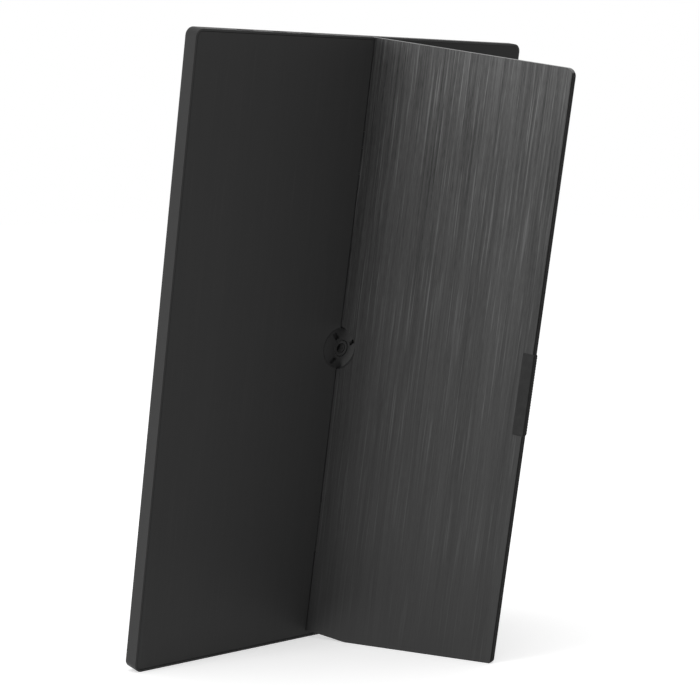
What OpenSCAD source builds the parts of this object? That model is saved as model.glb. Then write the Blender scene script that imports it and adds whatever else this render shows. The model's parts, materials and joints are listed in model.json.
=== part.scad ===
// Portable monitor with a hinged rear cover that is also its stand.
// It stands upright on a short side, leaning back, with the cover swung open behind it.
//
// Each piece is written flat, in the screen's own frame:
//   X across the short side (the hinge line runs near the middle, the cover is on -X),
//   Y through the thickness, 0 at the rear face and negative towards the screen,
//   Z up the long side, 0 at the edge that stands on the table.
// stood() leans the whole set back onto the table, and opened() swings the cover's pieces.

/* [Body] */
// Width across the short side
body_w = 248; // [244:1:260]
// Height up the long side
body_h = 360; // [352:1:372]
// Thickness with the cover shut
body_t = 9.2; // [9.0:0.1:10.4]
// Radius of the outline's corners
corner_r = 4.7; // [3.5:0.1:6]
// Side wall of the front frame
wall_t = 1.2; // [1.0:0.1:1.4]
// Bezel in front of the screen
bezel_t = 1.0; // [0.8:0.1:1.1]
// Wall of the rear cover
shell_t = 1.0; // [0.8:0.1:1.1]
// Brushed sheet on the fixed half of the back
skin_t = 0.4; // [0.3:0.1:0.6]
// Step from the frame's edge down to the brushed sheet
skin_step = 0.2; // [0.1:0.1:0.4]

/* [Stand] */
// How far the cover is swung open as it stands, in degrees
open_angle = 72; // [55:1:90]
// How far the screen leans back, in degrees
lean = 9.9; // [7:0.1:13]
// Thickness of the swinging cover
flap_t = 3.8; // [3.6:0.1:4.2]
// Thickness of its brushed outer sheet
flap_skin_t = 0.8; // [0.6:0.1:1.0]
// Hinge axis, distance from the middle of the back
hinge_offset = 3.5; // [2.5:0.1:6]
// Height of the cover's end beside the hinge, clear of the table
foot_inset = 4.4; // [4.0:0.1:8]
// Radius of the cover's upper free corner
tip_r = 4.5; // [3:0.1:6]
// Radius of the cover's lower free corner
foot_r = 2.5; // [1.5:0.1:3.5]
// Gap all round the cover in its pocket
flap_gap = 0.3; // [0.25:0.05:0.4]
// How far the cover's free edge stands past the body's side, to open it by
flap_lip = 3.4; // [0:0.1:4]

/* [Screen] */
// Bezel on the long side away from the cover
bezel_side = 8; // [7:0.1:10]
// Bezel on the short sides
bezel_end = 7.65; // [7:0.05:10]
// Chin of the bezel, on the cover's long side
chin_w = 24.6; // [22:0.2:30]
// Glass cell
cell_t = 1.1; // [0.9:0.1:1.3]

/* [Hinges] */
// Distance of each hinge from its end of the long side
hinge_end = 70; // [56:1:110]
// Radius of the hinge pins
pin_r = 1.2; // [0.9:0.05:1.3]
// Running clearance of the pins in the body's knuckles
pin_clear = 0.05; // [0.02:0.01:0.1]
// Length of the body's knuckle
knuckle_l = 14; // [10:1:18]
// Length of each of the cover's knuckles
leaf_knuckle_l = 8; // [6:1:10]

/* [Tripod socket] */
// Distance of the socket from the middle of the back
tripod_offset = 2.1; // [1.5:0.1:3]
// Height of the socket above the middle of the long side
tripod_lift = 0; // [-15:1:15]
// Radius of the boss around it
boss_r = 12; // [10:0.5:13]
// How far the boss stands above the back
boss_proud = 1.4; // [0.4:0.1:2]
// Radius of the threaded bore, a quarter-inch screw
thread_r = 3.175; // [2.5:0.005:3.2]
// Outside radius of the threaded insert
insert_r = 5; // [4.2:0.1:5.5]

/* [Grip] */
// Length of the rubber grip on the cover's free edge
grip_l = 47; // [30:1:60]
// Height of the grip's middle above the middle of the long side
grip_lift = -1; // [-25:1:25]
// Width of the grip on the cover's face
grip_w = 6.5; // [5:0.5:12]
// How far the grip stands out of the edge
grip_proud = 0.7; // [0.4:0.1:1.0]

/* [Keys] */
// Length of a key
key_l = 7; // [5:0.5:8]
// Width of a key
key_w = 3; // [2.5:0.1:4]
// Distance between keys
key_pitch = 12; // [11:0.5:14]
// Height of the lowest key
key_z = 26; // [25:1:32]
// Travel of a key
key_travel = 0.4; // [0.2:0.05:0.45]

/* [Ports] */
// Width of a small oval port's shell
oval_port_w = 8.94; // [8.8:0.01:9.1]
// Height of the ports' shells
port_h = 3.16; // [3.0:0.01:3.2]
// Width of the flat port's shell
flat_port_w = 11.2; // [10.4:0.1:11.4]

/* [Hidden] */
$fn = 48;

// Through the thickness, from the front face to the back
front_y = -body_t;
bezel_y = front_y + bezel_t;
tape_t = 0.2;
cell_y = bezel_y + tape_t;
film_y = cell_y + cell_t;
film_t = 0.3;
layer_gap = 0.05;
guide_y = film_y + film_t + layer_gap;
guide_t = 0.55;
mirror_y = guide_y + guide_t + layer_gap;
mirror_t = 0.15;
tray_y = mirror_y + mirror_t + layer_gap;
tray_t = 0.3;
tray_back_y = tray_y + tray_t;
pocket_y = -flap_t - 0.2;
floor_y = pocket_y - shell_t;
cable_t = 0.2;
cable_y = tray_back_y + layer_gap;
chassis_y = tray_back_y + 0.5;
chassis_t = 0.6;
chassis_back_y = chassis_y + chassis_t;
skin_y = -skin_step - skin_t;
shell_y = skin_y - shell_t;
board_t = 1.0;
board_y = chassis_back_y + 0.75;
board_back_y = board_y + board_t;

// Across and up
left_x = body_w / 2;
right_x = -body_w / 2;
hinge_x = -hinge_offset;
hinge_y = -flap_t / 2;
nose_r = flap_t / 2;
seam_x = hinge_x + nose_r + flap_gap;
tripod_x = -tripod_offset;
cover_fit = 0.15;
middle_z = body_h / 2;
tripod_z = middle_z + tripod_lift;
picture_x0 = right_x + chin_w;
picture_x1 = left_x - bezel_side;
picture_z0 = bezel_end;
picture_z1 = body_h - bezel_end;
picture_w = picture_x1 - picture_x0;
picture_h = picture_z1 - picture_z0;
cell_margin = 2.5;
cell_ledge = 6;
cell_x0 = picture_x0 - cell_ledge;
cell_x1 = picture_x1 + cell_margin;
cell_z0 = picture_z0 - cell_margin;
cell_z1 = picture_z1 + cell_margin;
chin_x = (right_x + picture_x0) / 2;

// The cover's lower end lies in the table's plane when it is open.
// A point at distance s from the hinge axis, on the cover's inner face, is then this far behind the back.
function behind(s) = hinge_y + s * sin(open_angle) - nose_r * cos(open_angle);
function foot_line(x) = tan(lean) * behind(hinge_x - x);
knee_x = hinge_x - ((foot_inset / tan(lean)) - hinge_y + nose_r * cos(open_angle)) / sin(open_angle);

// Where the whole set stands: the middle of its box is the origin
foot_proud = 0.4;
free_x = right_x - flap_lip;
reach = hinge_x - free_x;
out_rate = sin(open_angle) * cos(lean);
up_rate = sin(lean);
deepest_y = (hinge_y + nose_r * cos(open_angle)) * cos(lean) + out_rate * (reach - tip_r)
    + up_rate * (body_h - tip_r) + tip_r * norm([out_rate, up_rate]);
nearest_y = front_y * cos(lean);
origin_x = foot_proud / 2;
origin_y = -(deepest_y + nearest_y) / 2;

hinge_low_z = hinge_end;
hinge_high_z = body_h - hinge_end;
HINGES = [hinge_low_z, hinge_high_z];

// ---------- Placing ----------

module stood() translate([origin_x, origin_y, 0]) rotate([-lean, 0, 0]) children();

module opened() translate([hinge_x, hinge_y, 0]) rotate([0, 0, -open_angle])
    translate([-hinge_x, -hinge_y, 0]) children();

// An outline drawn in X and Z, given thickness from y0 to y1
module slab(y0, y1) translate([0, y1, 0]) rotate([90, 0, 0]) linear_extrude(y1 - y0) children();

module rod(x, z, y0, y1, r) translate([x, y1, z]) rotate([90, 0, 0]) cylinder(r = r, h = y1 - y0);

module block(x0, x1, y0, y1, z0, z1) translate([x0, y0, z0]) cube([x1 - x0, y1 - y0, z1 - z0]);

// A straight round bar up the long side, on the hinge axis
module on_axis(z, l, r) translate([hinge_x, hinge_y, z - l / 2]) cylinder(r = r, h = l);

module rounded_rect(x0, z0, x1, z1, r) {
    translate([x0 + r, z0]) square([x1 - x0 - 2 * r, z1 - z0]);
    translate([x0, z0 + r]) square([x1 - x0, z1 - z0 - 2 * r]);
    for (x = [x0 + r, x1 - r], z = [z0 + r, z1 - r]) translate([x, z]) circle(r);
}

// A convex outline whose corners [x, z, r] are rounded by true arcs, or cut straight without them
function unit(v) = v / norm(v);
function at(c, i) = let (p = c[(i + len(c)) % len(c)]) [p[0], p[1]];
function back_way(c, i) = unit(at(c, i - 1) - at(c, i));
function next_way(c, i) = unit(at(c, i + 1) - at(c, i));
function half_angle(c, i) = acos(back_way(c, i) * next_way(c, i)) / 2;
function run_in(c, i) = c[i][2] / tan(half_angle(c, i));
function arc_middle(c, i) = at(c, i)
    + unit(back_way(c, i) + next_way(c, i)) * c[i][2] / sin(half_angle(c, i));

module soft_polygon(c, arcs) {
    polygon([for (i = [0:len(c) - 1], way = c[i][2] > 0 ? [back_way(c, i), next_way(c, i)] : [[0, 0]])
        at(c, i) + way * (c[i][2] > 0 ? run_in(c, i) : 0)]);
    if (arcs) for (i = [0:len(c) - 1]) if (c[i][2] > 0) translate(arc_middle(c, i)) circle(c[i][2]);
}

// ---------- Shared outlines ----------

module body_outline(inset) rounded_rect(right_x + inset, inset, left_x - inset, body_h - inset,
    max(corner_r - inset, 0.5));

// The side of the back that the cover fills, grown by g past its seam
module flap_side(g) {
    far_x = right_x - 10;
    polygon([
        [seam_x + g, body_h + 10], [far_x, body_h + 10], [far_x, foot_line(far_x) - flap_gap - g],
        [knee_x, foot_inset - flap_gap - g], [seam_x + g, foot_inset - flap_gap - g]
    ]);
}

module pocket_space() slab(pocket_y, 5) flap_side(0);

// ---------- Fasteners ----------

module screw(x, z, y_seat, head_r, head_h, shank_r, shank_l) {
    slot_w = head_r * 0.3;
    slot_l = head_r * 1.3;
    difference() {
        union() {
            rod(x, z, y_seat, y_seat + head_h, head_r);
            rod(x, z, y_seat - shank_l, y_seat, shank_r);
        }
        for (half = [[slot_l / 2, slot_w / 2], [slot_w / 2, slot_l / 2]])
            block(x - half[0], x + half[0], y_seat + head_h / 2, y_seat + head_h + 1,
                z - half[1], z + half[1]);
    }
}

// ---------- Front frame ----------

frame_post_r = 1.8;
frame_post_x = left_x - wall_t - 0.4 - frame_post_r;
frame_post_z = [for (part = [0.08, 0.34, 0.66, 0.92]) part * body_h];
screw_r = 1.0;
cover_post_r = 2.2;
cover_post_x = (right_x + wall_t + cell_x0) / 2;
cover_post_end = 52;
cover_post_z = [key_z + cover_post_end, body_h - cover_post_end];
cover_head_r = 1.7;
cover_head_h = 0.6;
cover_shank_r = 0.8;

key_x = chin_x;
key_zs = [for (i = [0:2]) key_z + i * key_pitch];
key_fit = 0.2;
light_z = key_zs[2] + key_pitch * 0.8;
light_r = 0.6;
key_board_y = bezel_y + 2.0;
key_board_t = 0.6;
key_post_r = 1.6;
key_post_z = [key_z - 8.5, light_z + 6];

port_y = (shell_y + tray_back_y) / 2;
port_fit = 0.1;
half_w = left_x - seam_x;
oval_a_x = seam_x + half_w * 0.37;
oval_b_x = seam_x + half_w * 0.53;
flat_x = seam_x + half_w * 0.72;
port_l = 8.2;
port_z1 = body_h - 0.4;
port_z0 = port_z1 - port_l;

driver_board_y = film_y + film_t;
driver_board_t = 0.8;
driver_x0 = right_x + wall_t + 2.4;
driver_x1 = cell_x0 - 4.6;
driver_end = 6;
driver_z0 = cover_post_z[0] + driver_end;
driver_z1 = cover_post_z[1] - driver_end;
driver_rib_z = [for (part = [0.1, 0.5, 0.9]) driver_z0 + part * (driver_z1 - driver_z0)];

strip_t = 0.9;
strip_l = 50;
strip_w = 6;
bond_inset = 26;
strip_zs = [middle_z - body_h * 0.32, middle_z + body_h * 0.32];
strip_y0 = front_y + 1.0;
strip_y1 = pocket_y - 1.0;

module key_outline(z, grow) rounded_rect(key_x - key_w / 2 - grow, z - key_l / 2 - grow,
    key_x + key_w / 2 + grow, z + key_l / 2 + grow, key_w / 2 - 0.2 + grow);

module port_outline(x, w, grow) translate([x, port_y]) {
    r = port_h / 2 + grow - 0.05;
    for (side = [-1, 1]) translate([side * (w / 2 + grow - r), 0]) circle(r);
    square([w + 2 * grow - 2 * r, 2 * r], center = true);
}

module port_prism(x, w, grow, z0, z1) translate([0, 0, z0]) linear_extrude(z1 - z0) port_outline(x, w, grow);

module front_frame() color("#47484a") stood() difference() {
    union() {
        slab(front_y, bezel_y) body_outline(0);
        difference() {
            slab(bezel_y - 0.1, 0) body_outline(0);
            slab(bezel_y - 1, 1) body_outline(wall_t);
            pocket_space();
        }
        for (z = frame_post_z) rod(frame_post_x, z, bezel_y, chassis_y, frame_post_r);
        for (z = cover_post_z) rod(cover_post_x, z, bezel_y, floor_y, cover_post_r);
        for (z = key_post_z) rod(key_x, z, bezel_y, key_board_y, key_post_r);
        for (z = driver_rib_z) block(driver_x0 + 1, driver_x1 - 3, bezel_y, driver_board_y, z - 2, z + 2);
    }
    slab(front_y - 1, bezel_y + 1) translate([picture_x0, picture_z0]) square([picture_w, picture_h]);
    for (z = key_zs) slab(front_y - 1, bezel_y + 1) key_outline(z, key_fit);
    rod(key_x, light_z, front_y - 1, bezel_y + 1, light_r);
    for (z = frame_post_z) rod(frame_post_x, z, bezel_y + 0.3, chassis_y + 1, screw_r);
    for (z = cover_post_z) rod(cover_post_x, z, bezel_y + 0.3, floor_y + 1, cover_shank_r);
    for (z = key_post_z) rod(key_x, z, bezel_y + 0.3, key_board_y + 1, cover_shank_r);
    for (x = [oval_a_x, oval_b_x]) port_prism(x, oval_port_w, port_fit, body_h - wall_t - 1, body_h + 1);
    port_prism(flat_x, flat_port_w, port_fit, body_h - wall_t - 1, body_h + 1);
    for (z = strip_zs) block(right_x - 1, right_x + strip_t - foot_proud, strip_y0, strip_y1,
        z - strip_l / 2, z + strip_l / 2);
}

module foot_strips() color("#232324") stood() for (z = strip_zs)
    block(right_x - foot_proud, right_x + strip_t - foot_proud, strip_y0, strip_y1,
        z - strip_l / 2, z + strip_l / 2);

// ---------- Rear cover ----------

seat_r = boss_r + 1.2;
tongue_t = 0.9;
tongue_y1 = shell_y - 0.1;
tongue_y0 = tongue_y1 - tongue_t;
clip_zs = [for (part = [0.14, 0.38, 0.62, 0.86]) part * body_h];
clip_w = 1.6;
clip_half = 4;

module rear_cover() color("#38393b") stood() difference() {
    union() {
        slab(shell_y, skin_y) difference() {
            body_outline(wall_t + cover_fit);
            flap_side(0);
        }
        slab(floor_y, pocket_y) intersection() {
            body_outline(wall_t + cover_fit);
            flap_side(shell_t);
        }
        slab(floor_y, skin_y) intersection() {
            body_outline(wall_t + cover_fit);
            difference() {
                flap_side(shell_t);
                flap_side(0);
            }
        }
        rod(tripod_x, tripod_z, floor_y, pocket_y, seat_r);
        difference() {
            rod(tripod_x, tripod_z, floor_y, skin_y, seat_r);
            pocket_space();
        }
        for (z = clip_zs) block(left_x - wall_t - clip_w, left_x - wall_t - cover_fit, shell_y - clip_w,
            shell_y + 0.1, z - clip_half, z + clip_half);
    }
    rod(tripod_x, tripod_z, pocket_y, 5, boss_r + 0.05);
    for (z = HINGES) block(seam_x - 1, seam_x + shell_t + 1, tongue_y0 - 0.4, shell_y,
        z - knuckle_l / 2 - 0.5, z + knuckle_l / 2 + 0.5);
    for (z = cover_post_z) {
        rod(cover_post_x, z, floor_y - 1, 5, cover_shank_r);
        rod(cover_post_x, z, pocket_y - cover_head_h, 5, cover_head_r);
    }
}

module back_skin() color("#2f3032") stood() difference() {
    slab(skin_y, -skin_step) difference() {
        body_outline(wall_t + 0.3);
        flap_side(0.05);
    }
    rod(tripod_x, tripod_z, -5, 5, boss_r + 0.05);
}

module cover_screws() color("#8c8d90") stood() for (z = cover_post_z)
    screw(cover_post_x, z, pocket_y - cover_head_h, cover_head_r, cover_head_h, cover_shank_r,
        pocket_y - cover_head_h - bezel_y - 0.5);

// ---------- Tripod socket ----------

notch_at = boss_r * 0.72;
notch_turns = [57, 160, 305];
insert_y1 = boss_proud - 0.4;
face_r = insert_r + 1.4;
notch_l = 4;
notch_w = 2.4;
notch_y = -0.4;

module tripod_boss() color("#3d3e40") stood() difference() {
    union() {
        rod(tripod_x, tripod_z, pocket_y, 0, boss_r);
        translate([tripod_x, 0, tripod_z]) rotate([-90, 0, 0])
            cylinder(r1 = boss_r, r2 = face_r, h = boss_proud);
    }
    rod(tripod_x, tripod_z, pocket_y - 1, boss_proud + 1, insert_r);
    for (a = notch_turns) translate([tripod_x, 0, tripod_z]) rotate([0, -a, 0])
        block(notch_at - notch_l / 2, notch_at + notch_l / 2, notch_y, boss_proud + 1,
            -notch_w / 2, notch_w / 2);
}

module tripod_insert() color("#4a4a4c") stood() difference() {
    rod(tripod_x, tripod_z, pocket_y, insert_y1, insert_r);
    rod(tripod_x, tripod_z, pocket_y - 1, insert_y1 + 1, thread_r);
}

// ---------- Screen ----------

module bezel_tape() color("#1c1c1d") stood() slab(bezel_y, cell_y) difference() {
    translate([cell_x0 + 0.3, cell_z0 + 0.3]) square([cell_x1 - cell_x0 - 0.6, cell_z1 - cell_z0 - 0.6]);
    translate([picture_x0 - 0.4, picture_z0 - 0.4]) square([picture_w + 0.8, picture_h + 0.8]);
}

module lcd_cell() color("#0c0d10") stood() block(cell_x0, cell_x1, cell_y, film_y, cell_z0, cell_z1);

layer_x0 = cell_x0 + 1.4;
layer_x1 = cell_x1 - 0.5;
layer_z0 = cell_z0 + 0.5;
layer_z1 = cell_z1 - 0.5;
led_pitch = 7;
led_bar_t = 0.6;
led_depth = 0.7;
led_half = 1.5;
guide_x0 = layer_x0 + led_bar_t + led_depth + 0.2;

module film_stack() color("#d9dade") stood()
    block(layer_x0, layer_x1, film_y, film_y + film_t, layer_z0, layer_z1);

module light_guide() color("#e8f0f0") stood()
    block(guide_x0, layer_x1, guide_y, guide_y + guide_t, layer_z0, layer_z1);

module reflector_sheet() color("#f2f2f2") stood()
    block(layer_x0, layer_x1, mirror_y, mirror_y + mirror_t, layer_z0, layer_z1);

module led_bar() color("#e6d98a") stood() {
    bar_l = layer_z1 - layer_z0 - 4;
    count = floor(bar_l / led_pitch);
    block(layer_x0, layer_x0 + led_bar_t, guide_y, guide_y + guide_t,
        middle_z - bar_l / 2, middle_z + bar_l / 2);
    for (i = [0:count - 1]) {
        z = middle_z + (i - (count - 1) / 2) * led_pitch;
        block(layer_x0 + led_bar_t, layer_x0 + led_bar_t + led_depth,
            guide_y + layer_gap, guide_y + guide_t - layer_gap, z - led_half, z + led_half);
    }
}

module panel_tray() color("#9b9da0") stood() {
    rim = 0.3;
    block(cell_x0 + 0.4, cell_x1, tray_y, tray_back_y, cell_z0, cell_z1);
    difference() {
        block(layer_x0, cell_x1, film_y + 0.05, tray_y, cell_z0, cell_z1);
        block(layer_x0 - 1, cell_x1 - rim, film_y - 1, tray_y, cell_z0 + rim, cell_z1 - rim);
    }
}

module bonding_strips() color("#26262a") stood()
    for (x = [key_cable_x + key_cable_w + 1.4, chassis_x1 - bond_inset], part = [0.12, 0.36])
        block(x, x + strip_w, tray_back_y, chassis_y,
            part * body_h - strip_l / 2, part * body_h + strip_l / 2);

// ---------- Screen electronics ----------

flex_t = 0.15;
flex_w = 22;
flex_n = 4;
driver_chip_half = 5;

module driver_board() color("#2b5a3a") stood() {
    block(driver_x0, driver_x1, driver_board_y, driver_board_y + driver_board_t, driver_z0, driver_z1);
    for (part = [0.2, 0.4, 0.6]) block(driver_x0 + 2, driver_x1 - 2, driver_board_y + driver_board_t,
        driver_board_y + driver_board_t + 0.4,
        driver_z0 + part * (driver_z1 - driver_z0) - driver_chip_half,
        driver_z0 + part * (driver_z1 - driver_z0) + driver_chip_half);
}

module panel_flexes() color("#b0722c") stood() for (i = [0:flex_n - 1]) {
    z = driver_z0 + (i + 0.75) / (flex_n + 0.5) * (driver_z1 - driver_z0);
    block(driver_x1 - 2, cell_x0 - 0.2, driver_board_y - flex_t, driver_board_y,
        z - flex_w / 2, z + flex_w / 2);
    block(cell_x0 - 0.6, cell_x0 + 1.2, film_y, driver_board_y - flex_t, z - flex_w / 2, z + flex_w / 2);
}

// ---------- Chassis and boards ----------

chassis_x0 = seam_x + shell_t + 1.1;
bracket_w = 25;
bracket_x0 = chassis_x0 + 1.6;
bracket_x1 = bracket_x0 + bracket_w;
board_x0 = bracket_x1 + 2.5;
board_x1 = left_x - 12;
board_l = 129;
board_z1 = body_h - 3;
board_z0 = board_z1 - board_l;
board_post_r = 2.0;
board_posts = [for (x = [board_x0 + 3, board_x1 - 3], z = [board_z0 + 3.5, port_z0 - 8]) [x, z]];
chassis_x1 = left_x - wall_t - 0.4;
chassis_z1 = port_z0 - 2;
bracket_t = 0.8;
bracket_half = knuckle_l / 2 + 7;
bracket_rows = [6, 19];
hole_end = 4;
riser_t = 1.0;
socket_lift = 18;
display_cable_z = board_z0 + socket_lift;
display_cable_w = 16;
display_riser_x = board_x0 - 5;
key_cable_w = 6;
key_cable_x = board_x0 + 14;
key_cable_z = key_zs[1];
key_riser_z = board_z0 - 4;
slot_room = 2;
notch_fit = 0.2;
window_w = 26;
window_l = 48;
window_x = seam_x + half_w * 0.53;

module chassis_plate() color("#a5a7a9") stood() difference() {
    union() {
        slab(chassis_y, chassis_back_y) rounded_rect(chassis_x0, 3, chassis_x1, chassis_z1, 3);
        for (p = board_posts) rod(p[0], p[1], chassis_back_y, board_y, board_post_r);
    }
    rod(tripod_x, tripod_z, chassis_y - 1, 0, seat_r + 0.4);
    for (z = frame_post_z) rod(frame_post_x, z, chassis_y - 1, 0, screw_r);
    for (p = board_posts) rod(p[0], p[1], chassis_y - 1, 0, cover_shank_r);
    for (z = HINGES, p = bracket_holes(z)) rod(p[0], p[1], chassis_y - 1, 0, screw_r);
    block(display_riser_x - slot_room, display_riser_x + cable_t + slot_room, chassis_y - 1, 0,
        display_cable_z - display_cable_w / 2 - slot_room, display_cable_z + display_cable_w / 2 + slot_room);
    block(key_cable_x - slot_room, key_cable_x + key_cable_w + slot_room, chassis_y - 1, 0,
        key_riser_z - slot_room - 4, key_riser_z + cable_t + slot_room);
    for (part = [0.06, 0.24, 0.42]) slab(chassis_y - 1, 0) rounded_rect(window_x, part * body_h,
        window_x + window_w, part * body_h + window_l, 4);
}

function bracket_holes(z) = [for (dx = bracket_rows, dz = [-1, 1])
    [bracket_x0 + dx, z + dz * (bracket_half - hole_end)]];

module chassis_screws() color("#b9babd") stood() for (z = frame_post_z)
    screw(frame_post_x, z, chassis_back_y, 1.7, 0.7, screw_r, chassis_back_y - bezel_y - 0.6);

module port_notch(x, w) block(x - w / 2 - notch_fit, x + w / 2 + notch_fit, board_y - 1, 0,
    port_z0 - notch_fit, body_h);

module main_board() color("#1f4f33") stood() difference() {
    slab(board_y, board_back_y) rounded_rect(board_x0, board_z0, board_x1, board_z1, 1.5);
    for (p = board_posts) rod(p[0], p[1], board_y - 1, 0, cover_shank_r);
    for (x = [oval_a_x, oval_b_x]) port_notch(x, oval_port_w);
    port_notch(flat_x, flat_port_w);
}

chip_h = 0.8;
scaler_w = 15;
memory_w = 8;
supply_w = 10;
driver_chip_w = 5;
small_chip_w = 3;
chip_row = 22;

module chip(x, z, w) block(x - w / 2, x + w / 2, board_back_y, board_back_y + chip_h, z - w / 2, z + w / 2);

module board_chips() color("#141416") stood() {
    mid_x = (board_x0 + board_x1) / 2;
    mid_z = board_z0 + board_l * 0.45;
    chip(mid_x, mid_z, scaler_w);
    for (side = [-1, 1]) chip(mid_x + side * chip_row, mid_z + memory_w * 1.5, memory_w);
    chip(mid_x + chip_row - 2, mid_z - memory_w * 1.5, supply_w);
    for (i = [0:3]) chip(mid_x + (i - 1.5) * chip_row * 0.8, board_z0 + board_l * 0.76, driver_chip_w);
    for (i = [0:4]) chip(mid_x + (i - 2.2) * chip_row * 0.4, board_z0 + board_l * 0.23, small_chip_w);
}

socket_h = 0.75;
socket_d = 5;

module board_sockets() color("#cfc8b8") stood() {
    block(board_x0 + 2, board_x0 + 2 + socket_d, board_back_y, board_back_y + socket_h,
        display_cable_z - display_cable_w / 2 - 1, display_cable_z + display_cable_w / 2 + 1);
    block(key_cable_x - 1, key_cable_x + key_cable_w + 1, board_back_y, board_back_y + socket_h,
        board_z0 + socket_lift, board_z0 + socket_lift + socket_d);
    block(driver_x0 + 2, driver_x0 + 2 + socket_d, driver_board_y + driver_board_t, cable_y,
        display_cable_z - display_cable_w / 2 - 1, display_cable_z + display_cable_w / 2 + 1);
    block(key_x - 4, key_x - 4 + socket_d, key_board_y + key_board_t, cable_y,
        key_cable_z - key_cable_w / 2 - 1, key_cable_z + key_cable_w / 2 + 1);
}

module display_cable() color("#c9862f") stood() {
    z0 = display_cable_z - display_cable_w / 2;
    z1 = display_cable_z + display_cable_w / 2;
    over_y = board_back_y + 0.2;
    block(driver_x0 + 3, display_riser_x + cable_t, cable_y, cable_y + cable_t, z0, z1);
    block(display_riser_x, display_riser_x + cable_t, cable_y, over_y + cable_t, z0, z1);
    block(display_riser_x, board_x0 + 2, over_y, over_y + cable_t, z0, z1);
}

module key_cable() color("#c9862f") stood() {
    over_y = board_back_y + 0.2;
    block(key_x - 3, key_cable_x + key_cable_w, cable_y, cable_y + cable_t,
        key_cable_z - key_cable_w / 2, key_cable_z + key_cable_w / 2);
    x1 = key_cable_x + key_cable_w;
    block(key_cable_x, x1, cable_y, cable_y + cable_t, key_cable_z, key_riser_z);
    block(key_cable_x, x1, cable_y, over_y + cable_t, key_riser_z - cable_t, key_riser_z);
    block(key_cable_x, x1, over_y, over_y + cable_t, key_riser_z - cable_t, board_z0 + socket_lift);
}

module board_screws() color("#b9babd") stood() for (p = board_posts)
    screw(p[0], p[1], board_back_y, 1.6, 0.7, cover_shank_r, board_back_y - chassis_y);

// ---------- Ports ----------

port_wall = 0.3;
ear_l = 3;
ear_w = 1.6;

module port(x, w) stood() difference() {
    union() {
        port_prism(x, w, 0, port_z0, port_z1);
        for (side = [-1, 1]) block(x + side * (w / 2 + ear_w / 2 - 0.4) - ear_w / 2,
            x + side * (w / 2 + ear_w / 2 - 0.4) + ear_w / 2, board_back_y, board_back_y + 0.3,
            port_z0 + 1, port_z0 + 1 + ear_l);
    }
    port_prism(x, w, -port_wall, port_z0 + 0.8, port_z1 + 1);
}

module oval_port_a() color("#b4b6b8") port(oval_a_x, oval_port_w);

module oval_port_b() color("#b4b6b8") port(oval_b_x, oval_port_w);

module flat_port() color("#b4b6b8") port(flat_x, flat_port_w);

module port_tongues() color("#151517") stood() {
    for (x = [oval_a_x, oval_b_x]) block(x - 3.35, x + 3.35, port_y - 0.35, port_y + 0.35,
        port_z0 + 0.8, port_z1 - 1);
    block(flat_x - 4.2, flat_x + 4.2, port_y - 0.3, port_y + 0.3, port_z0 + 0.8, port_z1 - 1);
}

// ---------- Keys ----------

key_proud = 0.3;
switch_w = 3.2;
switch_y = key_board_y - 0.75;
stem_y = switch_y - 0.2;
plunger_y = stem_y - key_travel - 0.02;
flange_y = bezel_y + 0.03;

module key_board() color("#1f4f33") stood() difference() {
    block(key_x - 7, key_x + 5, key_board_y, key_board_y + key_board_t, key_post_z[0] - 3, key_post_z[1] + 3);
    for (z = key_post_z) rod(key_x, z, key_board_y - 1, key_board_y + 2, cover_shank_r);
}

module key_screws() color("#b9babd") stood() for (z = key_post_z)
    screw(key_x, z, key_board_y + key_board_t, 1.5, 0.4, cover_shank_r,
        key_board_y + key_board_t - bezel_y - 0.5);

module key_switches() color("#c4c5c8") stood() for (z = key_zs) {
    block(key_x - switch_w / 2, key_x + switch_w / 2, switch_y, key_board_y,
        z - switch_w / 2, z + switch_w / 2);
    rod(key_x, z, stem_y, switch_y, 0.7);
}

module key_cap(z) stood() {
    slab(front_y - key_proud, flange_y) key_outline(z, 0);
    slab(flange_y, flange_y + 0.35) key_outline(z, key_fit + 0.6);
    rod(key_x, z, flange_y, plunger_y, 0.9);
}

module power_button() color("#2a2a2c") key_cap(key_zs[0]);

module menu_button() color("#2a2a2c") key_cap(key_zs[1]);

module select_button() color("#2a2a2c") key_cap(key_zs[2]);

module status_light() color("#dfe8ea") stood() rod(key_x, light_z, front_y, key_board_y, light_r);

// ---------- Hinges ----------

knuckle_r = nose_r - 0.1;
washer_t = 0.8;
washer_gap = 0.1;
leaf_half = knuckle_l / 2 + washer_t + 2 * washer_gap + leaf_knuckle_l;
pin_half = leaf_half + 0.4;
pocket_half = pin_half + 0.5;
leaf_t = 0.8;
leaf_y0 = hinge_y - 0.7;
leaf_reach = 24;
leaf_root = 3.2;
leaf_rows = [8, 19];
stiffener_t = 1.0;

module hinge_bracket(z) stood() difference() {
    union() {
        block(bracket_x0, bracket_x1, chassis_back_y, chassis_back_y + bracket_t,
            z - bracket_half, z + bracket_half);
        block(bracket_x0 - riser_t, bracket_x0, chassis_back_y, tongue_y1,
            z - knuckle_l / 2, z + knuckle_l / 2);
        block(bracket_x0 - riser_t, bracket_x0 + 2, chassis_back_y, chassis_back_y + bracket_t,
            z - knuckle_l / 2, z + knuckle_l / 2);
        block(hinge_x, bracket_x0, tongue_y0, tongue_y1, z - knuckle_l / 2, z + knuckle_l / 2);
        on_axis(z, knuckle_l, knuckle_r);
    }
    on_axis(z, knuckle_l + 2, pin_r + pin_clear);
    for (p = bracket_holes(z)) rod(p[0], p[1], chassis_y - 1, 0, screw_r);
}

module hinge_bracket_upper() color("#3a3a3c") hinge_bracket(hinge_high_z);

module hinge_bracket_lower() color("#3a3a3c") hinge_bracket(hinge_low_z);

module bracket_screws() color("#b9babd") stood() for (z = HINGES, p = bracket_holes(z))
    screw(p[0], p[1], chassis_back_y + bracket_t, 1.8, 0.7, screw_r, bracket_t + chassis_t);

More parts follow.
